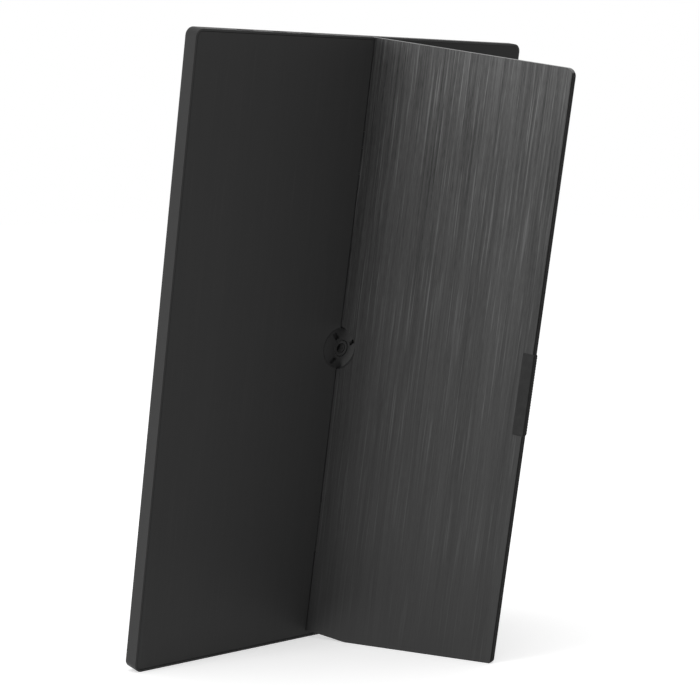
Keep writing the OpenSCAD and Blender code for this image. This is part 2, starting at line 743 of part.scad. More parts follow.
function leaf_holes(z) = [for (dx = leaf_rows, dz = [-1, 1])
    [hinge_x - dx, z + dz * (leaf_half - hole_end)]];

module hinge_leaf(z) stood() opened() difference() {
    union() {
        for (side = [-1, 1]) translate([0, 0, side * (leaf_half - leaf_knuckle_l / 2)]) {
            on_axis(z, leaf_knuckle_l, knuckle_r);
            block(hinge_x - leaf_root, hinge_x, leaf_y0, leaf_y0 + leaf_t,
                z - leaf_knuckle_l / 2, z + leaf_knuckle_l / 2);
        }
        block(hinge_x - leaf_reach, hinge_x - leaf_root + 0.4, leaf_y0, leaf_y0 + leaf_t,
            z - leaf_half, z + leaf_half);
    }
    on_axis(z, 2 * leaf_half + 2, pin_r);
    for (p = leaf_holes(z)) rod(p[0], p[1], -flap_t, 0, screw_r);
}

module hinge_leaf_upper() color("#3a3a3c") hinge_leaf(hinge_high_z);

module hinge_leaf_lower() color("#3a3a3c") hinge_leaf(hinge_low_z);

module hinge_pin(z) stood() opened() on_axis(z, 2 * pin_half, pin_r);

module hinge_pin_upper() color("#c3c5c7") hinge_pin(hinge_high_z);

module hinge_pin_lower() color("#c3c5c7") hinge_pin(hinge_low_z);

module friction_washers() color("#6f7173") stood() opened() for (z = HINGES, side = [-1, 1])
    translate([0, 0, side * (knuckle_l / 2 + washer_gap + washer_t / 2)]) difference() {
        on_axis(z, washer_t, knuckle_r - 0.05);
        on_axis(z, washer_t + 1, pin_r);
    }

// ---------- Swinging cover ----------

cavity_inset = 3;
rim_fit = 0.1;
cavity_y0 = leaf_y0;
stiffener_y0 = leaf_y0 + leaf_t;
magnet_r = 4;
magnet_x = right_x + 12;
magnet_y0 = -flap_t + 0.6;
magnet_zs = [for (part = [-0.31, -0.17, 0.17, 0.31]) middle_z + part * body_h];
grip_bite = 2.5;
grip_z = middle_z + grip_lift;

module flap_outline(inset, arcs = true) soft_polygon([
    [hinge_x - inset, body_h - inset, 0], [free_x + inset, body_h - inset, tip_r],
    [free_x + inset, foot_line(free_x + inset) + inset, foot_r], [knee_x, foot_inset + inset, 0],
    [hinge_x - inset, foot_inset + inset, 0]
], arcs);

// The plain plate with its rounded nose, between two depths
module flap_plate(y0, y1) intersection() {
    union() {
        slab(-flap_t, 0) flap_outline(0);
        translate([hinge_x, hinge_y, foot_inset]) cylinder(r = nose_r, h = body_h - foot_inset);
    }
    block(free_x - 1, 10, y0, y1, -50, body_h + 1);
}

// What the tripod boss and the hinges need out of the plate
module flap_relief() {
    rod(tripod_x, tripod_z, -flap_t - 1, 1, boss_r + 1);
    for (z = HINGES) {
        on_axis(z, 2 * pocket_half, nose_r + 0.1);
        block(hinge_x - 1.4, 10, -flap_t - 1, 1, z - pocket_half, z + pocket_half);
    }
}

// Everything below the table's plane
module under_table() translate([-body_w, -body_w, -100]) cube([2 * body_w, 3 * body_w, 100]);

module grip_step() block(free_x - 1, free_x + grip_w, -flap_skin_t, 5,
    grip_z - grip_l / 2, grip_z + grip_l / 2);

module grip_bite_space() block(free_x - 1, free_x + grip_bite, -flap_t - 1, 5,
    grip_z - grip_l / 2, grip_z + grip_l / 2);

// The room inside the sheet's turned-down rim, open on the hinge side
module rim_inside(gap) {
    flap_outline(flap_skin_t + gap, false);
    translate([hinge_x - 20, foot_inset + flap_skin_t + gap])
        square([20 + nose_r + 1, body_h - foot_inset - 2 * (flap_skin_t + gap)]);
}

module flap_skin() color("#4a4b4d") difference() {
    stood() opened() difference() {
        flap_plate(-flap_t, 0);
        slab(-flap_t - 1, -flap_skin_t) rim_inside(0);
        flap_relief();
        grip_step();
        grip_bite_space();
    }
    under_table();
}

module flap_frame() color("#303133") difference() {
    stood() opened() difference() {
        intersection() {
            flap_plate(-flap_t, -flap_skin_t);
            slab(-flap_t - 1, 0) rim_inside(rim_fit);
        }
        flap_relief();
        grip_bite_space();
        slab(cavity_y0, 1) difference() {
            flap_outline(cavity_inset);
            translate([tripod_x, tripod_z]) circle(boss_r + 3);
        }
        for (z = HINGES) block(hinge_x - leaf_reach - 0.3, hinge_x, leaf_y0 - 0.01, 1,
            z - leaf_half - 0.3, z + leaf_half + 0.3);
        for (z = HINGES, p = leaf_holes(z)) rod(p[0], p[1], leaf_y0 - 0.5, 0, 1.9);
        for (z = magnet_zs) rod(magnet_x, z, magnet_y0, 0, magnet_r);
    }
    under_table();
}

module flap_stiffener() color("#a5a7a9") stood() opened() difference() {
    slab(stiffener_y0, -flap_skin_t) flap_outline(cavity_inset + 0.4, false);
    rod(tripod_x, tripod_z, -flap_t, 1, boss_r + 3.4);
    for (z = HINGES) block(hinge_x - 3.6, 10, -flap_t, 1, z - pocket_half, z + pocket_half);
    for (z = HINGES, p = leaf_holes(z)) rod(p[0], p[1], -flap_t, 0, screw_r);
}

module flap_magnets() color("#bfc1c4") stood() opened() for (z = magnet_zs)
    rod(magnet_x, z, magnet_y0, stiffener_y0, magnet_r);

module leaf_screws() color("#b9babd") stood() opened() for (z = HINGES, p = leaf_holes(z))
    mirror([0, 1, 0]) screw(p[0], p[1], -leaf_y0, 1.8, 0.4, screw_r, leaf_t + stiffener_t);

module grip_pad() color("#1d1d1e") stood() opened() {
    block(free_x - grip_proud, free_x + grip_bite, -flap_t, 0.3, grip_z - grip_l / 2, grip_z + grip_l / 2);
    block(free_x, free_x + grip_w, -flap_skin_t, 0.3, grip_z - grip_l / 2, grip_z + grip_l / 2);
}

front_frame();
rear_cover();
back_skin();
bezel_tape();
lcd_cell();
film_stack();
light_guide();
reflector_sheet();
led_bar();
panel_tray();
bonding_strips();
driver_board();
panel_flexes();
chassis_plate();
main_board();
board_chips();
board_sockets();
oval_port_a();
oval_port_b();
flat_port();
port_tongues();
display_cable();
key_cable();
key_board();
key_switches();
status_light();
tripod_boss();
tripod_insert();
hinge_bracket_upper();
hinge_bracket_lower();
bracket_screws();
chassis_screws();
board_screws();
cover_screws();
key_screws();
foot_strips();
flap_skin();
flap_frame();
flap_stiffener();
grip_pad();
flap_magnets();
hinge_leaf_upper();
hinge_leaf_lower();
hinge_pin_upper();
hinge_pin_lower();
friction_washers();
leaf_screws();
power_button();
menu_button();
select_button();
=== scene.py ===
"""Looks of a portable monitor whose rear cover swings open as its stand.

The set is thought of flat, in the screen's own frame, as the solids are: X across the short side, Y through
the thickness with 0 at the back and minus towards the screen, Z up the long side. STAND leans it back onto
the table, and SWING also opens the cover. Every length is in metres, and MM is a millimetre.
"""
import json
import math

import bmesh
import bpy
from mathutils import Matrix, Vector

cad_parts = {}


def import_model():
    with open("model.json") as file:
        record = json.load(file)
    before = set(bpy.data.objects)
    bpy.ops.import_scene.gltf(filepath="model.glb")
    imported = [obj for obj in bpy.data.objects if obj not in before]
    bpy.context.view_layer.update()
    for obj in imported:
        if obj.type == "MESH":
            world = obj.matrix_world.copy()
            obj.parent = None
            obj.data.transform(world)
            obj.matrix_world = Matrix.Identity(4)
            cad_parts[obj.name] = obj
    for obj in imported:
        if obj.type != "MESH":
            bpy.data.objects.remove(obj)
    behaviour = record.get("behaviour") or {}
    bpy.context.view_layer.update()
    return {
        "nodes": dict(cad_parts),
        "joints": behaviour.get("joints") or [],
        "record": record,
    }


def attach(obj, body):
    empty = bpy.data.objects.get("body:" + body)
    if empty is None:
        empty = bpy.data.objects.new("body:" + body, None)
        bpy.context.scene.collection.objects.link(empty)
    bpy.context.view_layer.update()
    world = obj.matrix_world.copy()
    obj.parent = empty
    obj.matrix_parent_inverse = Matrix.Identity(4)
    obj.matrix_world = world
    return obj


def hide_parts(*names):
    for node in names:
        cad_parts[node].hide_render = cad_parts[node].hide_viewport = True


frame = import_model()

MM = 0.001

# ---------- Places, worked out from the frame ----------


def joint(name):
    return next(j for j in frame["joints"] if j["name"] == name)


def points(node, into):
    """The corners of a CAD node's mesh, seen in the frame that into leads to."""
    return [into @ v.co for v in frame["nodes"][node].data.vertices]


def extent(found):
    low = Vector(min(p[i] for p in found) for i in range(3))
    high = Vector(max(p[i] for p in found) for i in range(3))
    return low, high


ACROSS = Vector((1, 0, 0))
# The hinge's axis points down the long side
UP = -Vector(joint("cover_hinge")["axis"]).normalized()
BACK = UP.cross(ACROSS)
OPEN = math.radians(-joint("cover_hinge")["range_deg"][0])
TURN = Matrix((ACROSS, BACK, UP)).transposed().to_4x4()


def standing():
    """The flat frame's place: the middle, the back and the lower edge of the front frame."""
    low, high = extent(points("front_frame", TURN.inverted()))
    return TURN @ Matrix.Translation(((low.x + high.x) / 2, high.y, low.z))


STAND = standing()
AXIS = STAND.inverted() @ Vector(joint("cover_hinge")["pos_m"])
SWING = STAND @ Matrix.Translation(AXIS) @ Matrix.Rotation(-OPEN, 4, "Z") @ Matrix.Translation(-AXIS)
# Where the flat frame goes for each body at rest
HOME = {"screen": STAND, "cover": SWING, "power_key": STAND, "menu_key": STAND, "select_key": STAND}


def body(node):
    return next(b for b, members in frame["record"]["behaviour"]["bodies"].items() if node in members)


def flat_box(node):
    """A node's lowest and highest corner in the flat frame."""
    return extent(points(node, HOME[body(node)].inverted()))


BODY_H = flat_box("front_frame")[1].z


# ---------- Node trees ----------

# The painted shade along a free edge that faces away from the light: its width, and the share of colour and
# the roughness it has
RIM_W = 0.9 * MM
RIM_PAINTED_SHADE = 0.3
RIM_ROUGH = 0.95


class Finish:
    """A material being built: its principled shader, and the flat frame's coordinates."""

    def __init__(self, name, swung=False):
        self.material = bpy.data.materials.new(name)
        self.material.use_nodes = True
        self.tree = self.material.node_tree
        self.tree.nodes.clear()
        self.shader = self.add("ShaderNodeBsdfPrincipled")
        output = self.add("ShaderNodeOutputMaterial")
        self.link(self.shader.outputs["BSDF"], output.inputs["Surface"])
        where = self.add("ShaderNodeTexCoord")
        turn = self.add("ShaderNodeMapping")
        into = (SWING if swung else STAND).inverted()
        turn.inputs["Location"].default_value = into.translation
        turn.inputs["Rotation"].default_value = into.to_euler()
        self.link(where.outputs["Object"], turn.inputs["Vector"])
        self.flat = turn.outputs["Vector"]

    def add(self, kind, **settings):
        made = self.tree.nodes.new(kind)
        for key, value in settings.items():
            setattr(made, key, value)
        return made

    def link(self, source, target):
        self.tree.links.new(source, target)

    def set(self, **values):
        """Plain numbers on the shader's own sockets, named with _ for a space."""
        for key, value in values.items():
            self.shader.inputs[key.replace("_", " ")].default_value = value

    def stretched(self, size):
        """Coordinates in which a grain cell of size (x, y, z) metres measures one."""
        scale = self.add("ShaderNodeMapping")
        scale.inputs["Scale"].default_value = [1 / s for s in size]
        self.link(self.flat, scale.inputs["Vector"])
        return scale.outputs["Vector"]

    def noise(self, size, detail=2.0, rough=0.5, contrast=(0.3, 0.7)):
        """Noise from 0 to 1 in cells of a size, (x, y, z) or one number. contrast is what becomes 0 and 1."""
        cell = size if isinstance(size, tuple) else (size,) * 3
        cells = self.add("ShaderNodeTexNoise")
        cells.inputs["Scale"].default_value = 1.0
        cells.inputs["Detail"].default_value = detail
        cells.inputs["Roughness"].default_value = rough
        self.link(self.stretched(cell), cells.inputs["Vector"])
        return self.spread(cells.outputs["Fac"], contrast, (0.0, 1.0))

    def spread(self, value, source, target):
        """value, taken from one range to another."""
        ranged = self.add("ShaderNodeMapRange")
        for key, number in zip(("From Min", "From Max", "To Min", "To Max"), source + target):
            ranged.inputs[key].default_value = number
        self.link(value, ranged.inputs["Value"])
        return ranged.outputs["Result"]

    def math(self, operation, a, b):
        made = self.add("ShaderNodeMath", operation=operation)
        for socket, value in zip(made.inputs, (a, b)):
            if isinstance(value, (int, float)):
                socket.default_value = value
            else:
                self.link(value, socket)
        return made.outputs[0]

    def blend(self, parts):
        """The weighted sum of several values: [(weight, value), ...]."""
        total = 0.0
        for weight, value in parts:
            total = self.math("ADD", total, self.math("MULTIPLY", value, weight))
        return total

    def along(self, axis, source, target):
        """The flat frame's X, Y or Z (0, 1 or 2), taken from one range in metres to another."""
        parts = self.add("ShaderNodeSeparateXYZ")
        self.link(self.flat, parts.inputs[0])
        return self.spread(parts.outputs[axis], source, target)

    def colours(self, value, dark, light):
        """Base colour between two greys or colours as value goes from 0 to 1."""
        ramp = self.add("ShaderNodeValToRGB")
        ramp.color_ramp.elements[0].color = (*colour(dark), 1)
        ramp.color_ramp.elements[1].color = (*colour(light), 1)
        self.link(value, ramp.inputs["Fac"])
        self.link(ramp.outputs["Color"], self.shader.inputs["Base Color"])

    def roughness(self, value, low, high):
        self.link(self.spread(value, (0.0, 1.0), (low, high)), self.shader.inputs["Roughness"])

    def bump(self, value, height, strength):
        made = self.add("ShaderNodeBump")
        made.inputs["Distance"].default_value = height
        made.inputs["Strength"].default_value = strength
        self.link(value, made.inputs["Height"])
        self.link(made.outputs["Normal"], self.shader.inputs["Normal"])

    def painted_shade_rim(self, node):
        """Paints shade on the free edge of a node, on the cover's free side, which faces away from the light,
        and makes it matt there.
        """
        if not node:
            return
        edge = flat_box(node)[0].x
        matt = self.along(0, (edge + RIM_W / 2, edge + RIM_W), (RIM_ROUGH, 0.0))
        smooth = self.shader.inputs["Roughness"].links[0].from_socket
        self.link(self.math("MAXIMUM", smooth, matt), self.shader.inputs["Roughness"])
        # Painted shade: the base colour is darkened along the free edge
        source = self.shader.inputs["Base Color"].links[0].from_socket
        shade = self.add("ShaderNodeMix", data_type="RGBA", blend_type="MULTIPLY")
        shade.inputs["Factor"].default_value = 1.0
        self.link(source, shade.inputs["A"])
        self.link(self.along(0, (edge + RIM_W / 2, edge + RIM_W), (RIM_PAINTED_SHADE, 1.0)), shade.inputs["B"])
        self.link(shade.outputs["Result"], self.shader.inputs["Base Color"])

    def tangent(self, direction):
        """Highlights stretch along this direction, given in the row frame at rest."""
        way = self.add("ShaderNodeCombineXYZ")
        for socket, value in zip(way.inputs, direction):
            socket.default_value = value
        turned = self.add("ShaderNodeVectorTransform", vector_type="VECTOR", convert_from="OBJECT",
                          convert_to="WORLD")
        self.link(way.outputs[0], turned.inputs[0])
        self.link(turned.outputs[0], self.shader.inputs["Tangent"])


def colour(value):
    """A linear colour from one sRGB level or three, each 0 to 255."""
    levels = value if isinstance(value, tuple) else (value,) * 3
    return tuple((level / 255 / 12.92) if level < 10.3 else ((level / 255 + 0.055) / 1.055) ** 2.4
                 for level in levels)


# ---------- Finishes ----------

# Cells of the brushed grain: across it, through the sheet and along it
HAIR_CELL = (0.4 * MM, 2 * MM, 6 * MM)
LINE_CELL = (0.9 * MM, 3 * MM, 55 * MM)
STREAK_CELL = (2.2 * MM, 4 * MM, 150 * MM)
BAND_CELL = (11 * MM, 9 * MM, 420 * MM)
SCRATCH_AND_GLINT_CELL = (1.2 * MM, 3 * MM, 60 * MM)


def brushed(name, dark, light, swung=False, rough=(0.3, 0.42), metal=0.8, height=0.02 * MM, painted_highlight_fade=(1.0, 1.0),
            shaded_edge_node=None):
    """Dark anodised metal, brushed up the long side: hairs, lines, streaks, broad bands and long bright
    scratches whose brightness is partly a painted highlight.

    fade is the strength of the grain at the lower and upper end; grain that grows stronger upwards is a
    painted highlight from the light above. rim is a node whose free edge gets painted shade.
    """
    f = Finish(name, swung)
    hair = f.noise(HAIR_CELL, detail=4.0, rough=0.6, contrast=(0.25, 0.75))
    line = f.noise(LINE_CELL)
    streak = f.noise(STREAK_CELL)
    band = f.noise(BAND_CELL, detail=1.0)
    # Long bright scratches: real grain in the bump, and partly a painted highlight in the colour
    scratch_and_painted_glint = f.noise(SCRATCH_AND_GLINT_CELL, contrast=(0.56, 0.75))
    grain = f.blend([(0.3, hair), (0.2, line), (0.2, streak), (0.14, band), (0.55, scratch_and_painted_glint)])
    # Painted highlight: the grain's contrast, bright scratches and all, grows towards the top, where the
    # light from above falls
    strength = f.along(2, (0.0, BODY_H), painted_highlight_fade)
    grain = f.math("ADD", f.math("MULTIPLY", f.math("SUBTRACT", grain, 0.5), strength), 0.5)
    f.colours(grain, dark, light)
    f.roughness(f.blend([(0.5, hair), (0.5, line)]), *rough)
    f.painted_shade_rim(shaded_edge_node)
    f.bump(f.blend([(0.3, hair), (0.4, line), (0.3, scratch_and_painted_glint)]), height, 0.5)
    f.tangent((SWING if swung else STAND).to_3x3() @ ACROSS)
    f.set(Metallic=metal, Anisotropic=0.6)
    return f.material


SPARK_CELL = 0.25 * MM
SPARK_DEPTH = 0.02 * MM
CLOUD_CELL = 26 * MM


def moulded(name, dark, light, rough=(0.5, 0.62), specular=0.3, swung=False):
    """Moulded plastic with a fine spark texture, and faint cloudiness over the whole part."""
    f = Finish(name, swung)
    fine = f.noise(SPARK_CELL)
    cloud = f.noise(CLOUD_CELL)
    f.colours(f.blend([(0.35, fine), (0.65, cloud)]), dark, light)
    f.roughness(f.blend([(0.5, fine), (0.5, cloud)]), *rough)
    f.bump(fine, SPARK_DEPTH, 0.6)
    f.set(Specular_IOR_Level=specular)
    return f.material


ROLLED_CELL = (0.6 * MM, 0.6 * MM, 6 * MM)
STAIN_CELL = 9 * MM


def machined(name, dark, light, rough=(0.25, 0.4), cell=ROLLED_CELL):
    """Bare metal with rolling or turning marks."""
    f = Finish(name)
    marks = f.noise(cell, detail=3.0)
    stain = f.noise(STAIN_CELL)
    f.colours(f.blend([(0.5, marks), (0.5, stain)]), dark, light)
    f.roughness(marks, *rough)
    f.bump(marks, 0.01 * MM, 0.5)
    f.set(Metallic=1.0)
    return f.material


RUBBER_CELL = 0.18 * MM
DUST_CELL = 4 * MM


def rubber(name, dark, light, swung=False, shaded_edge_node=None):
    """Soft rubber: almost no gloss, a fine skin and patches of faint dust, with painted shade along the free
    edge of rim, if given.
    """
    f = Finish(name, swung)
    skin = f.noise(RUBBER_CELL, detail=3.0)
    dust = f.noise(DUST_CELL, detail=3.0, contrast=(0.45, 0.75))
    f.colours(f.blend([(0.4, skin), (0.6, dust)]), dark, light)
    f.roughness(skin, 0.75, 0.9)
    f.painted_shade_rim(shaded_edge_node)
    f.bump(skin, 0.03 * MM, 0.7)
    f.set(Specular_IOR_Level=0.2)
    return f.material


WAVE_CELL = 14 * MM


def sheet(name, dark, light, rough=(0.3, 0.5), clear=0.0):
    """Film, foil, tape or flat cable: smooth, with slow waves."""
    f = Finish(name)
    wave = f.noise(WAVE_CELL)
    f.colours(wave, dark, light)
    f.roughness(wave, *rough)
    f.bump(wave, 0.05 * MM, 0.3)
    f.set(Transmission_Weight=clear)
    return f.material


TRACK_CELL = 2.5 * MM
MASK_CELL = 3 * MM


def circuit(name):
    """Solder mask over copper: fine tracks show as slightly lighter lines."""
    f = Finish(name)
    tracks = f.add("ShaderNodeTexBrick")
    tracks.inputs["Scale"].default_value = 1.0
    tracks.inputs["Mortar Size"].default_value = 0.08
    f.link(f.stretched((TRACK_CELL,) * 3), tracks.inputs["Vector"])
    mask = f.noise(MASK_CELL)
    f.colours(f.blend([(0.7, tracks.outputs["Fac"]), (0.3, mask)]), (20, 58, 34), (44, 98, 58))
    f.roughness(mask, 0.25, 0.4)
    f.bump(tracks.outputs["Fac"], 0.03 * MM, 0.6)
    return f.material


# How far the glass reaches past the picture, at the chin and elsewhere, and the border printed on it
GLASS_LEDGE = 6 * MM
GLASS_MARGIN = 2.5 * MM
PRINT_W = 1.6 * MM
PRINT_EDGE = 0.1 * MM
GLASS_CELL = 0.12 * MM
HAZE_CELL = 60 * MM


def screen_glass(name):
    """The dark screen: matt glass over a switched-off picture, with a blacker printed border."""
    f = Finish(name)
    fine = f.noise(GLASS_CELL, detail=1.0)
    haze = f.noise(HAZE_CELL, detail=1.0)
    low, high = flat_box("lcd_cell")
    inside = 1.0
    for axis, below, above in ((0, GLASS_LEDGE, GLASS_MARGIN), (2, GLASS_MARGIN, GLASS_MARGIN)):
        start, end = low[axis] + below + PRINT_W, high[axis] - above - PRINT_W
        inside = f.math("MULTIPLY", inside, f.along(axis, (start - PRINT_EDGE, start), (0.0, 1.0)))
        inside = f.math("MULTIPLY", inside, f.along(axis, (end, end + PRINT_EDGE), (1.0, 0.0)))
    f.colours(f.blend([(0.7, inside), (0.3, haze)]), (4, 4, 5), (15, 16, 20))
    f.roughness(f.blend([(0.5, fine), (0.5, haze)]), 0.16, 0.26)
    f.bump(fine, 0.004 * MM, 0.4)
    f.set(Specular_IOR_Level=0.5, Coat_Weight=0.25, Coat_Roughness=0.12)
    return f.material


TURNED_CELL = 0.5 * MM
FILED_CELL = 0.4 * MM


def finishes():
    """The material of each material slot in the record."""
    return {
        "frame_plastic": moulded("frame_plastic", 29, 38),
        "shell_plastic": moulded("shell_plastic", 28, 37, rough=(0.45, 0.6), specular=0.15),
        "brushed_back": brushed("brushed_back", 39, 45, rough=(0.52, 0.58), metal=0.6, height=0.006 * MM),
        # The cover's grain is a painted highlight that grows stronger towards the top, and its free edge has
        # painted shade
        "brushed_cover": brushed("brushed_cover", 33, 80, swung=True, painted_highlight_fade=(0.25, 1.65), shaded_edge_node="flap_skin"),
        "cover_plastic": moulded("cover_plastic", 34, 44, swung=True),
        "boss_plastic": moulded("boss_plastic", 26, 34, rough=(0.45, 0.58), specular=0.18),
        "black_tape": sheet("black_tape", 22, 30, rough=(0.6, 0.8)),
        "screen_face": screen_glass("screen_face"),
        "optical_film": sheet("optical_film", 205, 225),
        "light_guide": sheet("light_guide", (225, 235, 235), (240, 245, 245), rough=(0.08, 0.15), clear=0.8),
        "led_strip": machined("led_strip", (190, 175, 100), (235, 220, 150)),
        "tray_steel": machined("tray_steel", 140, 175),
        "chassis_metal": machined("chassis_metal", 145, 185),
        "circuit_board": circuit("circuit_board"),
        "chip_black": moulded("chip_black", 18, 28, rough=(0.4, 0.55)),
        "socket_plastic": moulded("socket_plastic", (196, 188, 168), (214, 206, 188)),
        "flex_cable": sheet("flex_cable", (170, 108, 40), (200, 134, 58)),
        "port_steel": machined("port_steel", 125, 160, rough=(0.25, 0.35)),
        "light_pipe": sheet("light_pipe", (205, 215, 218), (225, 232, 235), rough=(0.15, 0.25), clear=0.5),
        "insert_steel": machined("insert_steel", 42, 56, rough=(0.45, 0.55), cell=TURNED_CELL),
        "hinge_steel": machined("hinge_steel", 34, 50, rough=(0.4, 0.55)),
        "screw_steel": machined("screw_steel", 44, 66, cell=FILED_CELL),
        "magnet_steel": machined("magnet_steel", 165, 200),
        "foot_rubber": rubber("foot_rubber", 26, 38),
        # The grip's free edge has painted shade
        "grip_rubber": rubber("grip_rubber", 45, 55, swung=True, shaded_edge_node="grip_pad"),
        "key_plastic": moulded("key_plastic", 34, 44, rough=(0.35, 0.45)),
    }


def slot_of(node):
    """The record's slot for a node."""
    return next(part["material_slot"] for part in frame["record"]["subparts"] if part["node"] == node)


FINISH = finishes()


# ---------- Carried-over solids ----------

# Radius of the softened edges, in millimetres
EDGE = {
    "front_frame": 0.45, "rear_cover": 0.2, "back_skin": 0.12, "flap_skin": 0.35, "flap_frame": 0.3,
    "power_button": 0.25, "menu_button": 0.25, "select_button": 0.25, "cover_screws": 0.1, "lcd_cell": 0.1,
    "oval_port_a": 0.08, "oval_port_b": 0.08, "flat_port": 0.08, "chassis_plate": 0.1,
    "hinge_pin_upper": 0.2, "hinge_pin_lower": 0.2,
}
EDGE_STEPS = 3
# An edge that turns less than this stays as it is
SHARPEST_SMOOTH = math.radians(40)
# Facets that turn less than this are joined
SAME_FACE = math.radians(0.5)


def dress(node):
    """Gives a CAD node its finish and, where it shows, softened edges."""
    piece = frame["nodes"][node]
    piece.data.materials.clear()
    piece.data.materials.append(FINISH[slot_of(node)])
    if node not in EDGE:
        return
    flat = piece.modifiers.new("join_facets", "DECIMATE")
    flat.decimate_type = "DISSOLVE"
    flat.angle_limit = SAME_FACE
    round_edge = piece.modifiers.new("soft_edges", "BEVEL")
    round_edge.width = EDGE[node] * MM
    round_edge.segments = EDGE_STEPS
    round_edge.limit_method = "ANGLE"
    round_edge.angle_limit = SHARPEST_SMOOTH
    round_edge.use_clamp_overlap = False
    shade = piece.modifiers.new("even_shading", "WEIGHTED_NORMAL")
    shade.keep_sharp = False


for cad_node in frame["nodes"]:
    dress(cad_node)


# ---------- Pieces made here in place of plain solids ----------


def ring_mesh(name, rings, ends):
    """A closed surface through rings of equally many points, with ends "capped" or "joined" to each other."""
    mesh = bpy.data.meshes.new(name)
    shape = bmesh.new()
    rows = [[shape.verts.new(p) for p in ring] for ring in rings]
    around = len(rows[0])
    pairs = list(zip(rows, rows[1:]))
    if ends == "joined":
        pairs.append((rows[-1], rows[0]))
    for one, other in pairs:
        for i in range(around):
            j = (i + 1) % around
            shape.faces.new((one[i], one[j], other[j], other[i]))
    if ends == "capped":
        shape.faces.new(rows[0])
        shape.faces.new(rows[-1])
    bmesh.ops.recalc_face_normals(shape, faces=shape.faces)
    shape.to_mesh(mesh)
    shape.free()
    return mesh


def joined(name, meshes):
    """One mesh of several."""
    shape = bmesh.new()
    for mesh in meshes:
        shape.from_mesh(mesh)
        bpy.data.meshes.remove(mesh)
    whole = bpy.data.meshes.new(name)
    shape.to_mesh(whole)
    shape.free()
    return whole


def place(name, mesh, node, slot=None, hides=True, sharp=35):
    """Puts a piece made in the flat frame where a CAD node is. If it hides the node, it stands for it."""
    mesh.transform(HOME[body(node)])
    mesh.materials.append(FINISH[slot or slot_of(node)])
    mesh.polygons.foreach_set("use_smooth", [True] * len(mesh.polygons))
    mesh.set_sharp_from_angle(angle=math.radians(sharp))
    piece = bpy.data.objects.new(name, mesh)
    bpy.context.scene.collection.objects.link(piece)
    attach(piece, body(node))
    if hides:
        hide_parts(node)


THREAD_PITCH = 1.27 * MM
THREAD_DEPTH = 0.6 * MM
# A ridge of the thread rises by this many times its depth per pitch, and begins this share of a chamfer in
THREAD_STEEPNESS = 3.2
THREAD_START = 0.3
# Rings in each pitch
THREAD_STEPS = 8
INSERT_CHAMFER = 0.35 * MM
ROUND_STEPS = 72


def turned_ring(centre, y, radius, count=ROUND_STEPS):
    """One ring about an axis through the thickness; radius is a number, or a function of the angle."""
    ring = []
    for i in range(count):
        angle = math.tau * i / count
        r = radius(angle) if callable(radius) else radius
        ring.append(Vector((centre.x + r * math.cos(angle), y, centre.z + r * math.sin(angle))))
    return ring


def threaded_insert():
    """The insert with its helical thread, cut with a lead-in at both ends."""
    low, high = flat_box("tripod_insert")
    centre = (low + high) / 2
    outer = (high.x - low.x) / 2
    root = next(m for m in frame["record"]["mounts"] if m["name"] == "tripod_socket")["dims"]["r_mm"] * MM

    def thread(y):
        near_end = min(high.y - y, y - low.y) / INSERT_CHAMFER

        def radius(angle):
            turn = (y / THREAD_PITCH + angle / math.tau) % 1.0
            ridge = max(0.0, 1.0 - abs(turn - 0.5) * THREAD_STEEPNESS)
            return root - THREAD_DEPTH * ridge * min(1.0, max(0.0, near_end - THREAD_START))
        return radius

    steps = int((high.y - low.y) / THREAD_PITCH * THREAD_STEPS)
    inside = [high.y - (high.y - low.y) * i / steps for i in range(steps + 1)]
    profile = [(low.y, outer - INSERT_CHAMFER), (low.y + INSERT_CHAMFER, outer),
               (high.y - INSERT_CHAMFER, outer), (high.y, outer - INSERT_CHAMFER)]
    profile += [(y, thread(y)) for y in inside]
    rings = [turned_ring(centre, y, radius) for y, radius in profile]
    place("tripod_insert_threaded", ring_mesh("tripod_insert_threaded", rings, "joined"), "tripod_insert")


# The notches' directions, their middle as a share of the boss's radius, and their size
NOTCH_TURNS = [math.radians(a) for a in (57, 160, 305)]
NOTCH_AT = 0.72
NOTCH_L = 4 * MM
NOTCH_W = 2.4 * MM
# The level of their floor, and how far their end walls lean
NOTCH_FLOOR = -0.4 * MM
NOTCH_WALL = 0.02 * MM
# The flat face's width round the insert, its chamfer at the bore, and how roundly the flank falls away
FACE_W = 1.4 * MM
BORE_CHAMFER = 0.2 * MM
DOME = 1.4
FLANK_STEPS = 10
BOSS_STEPS = 180


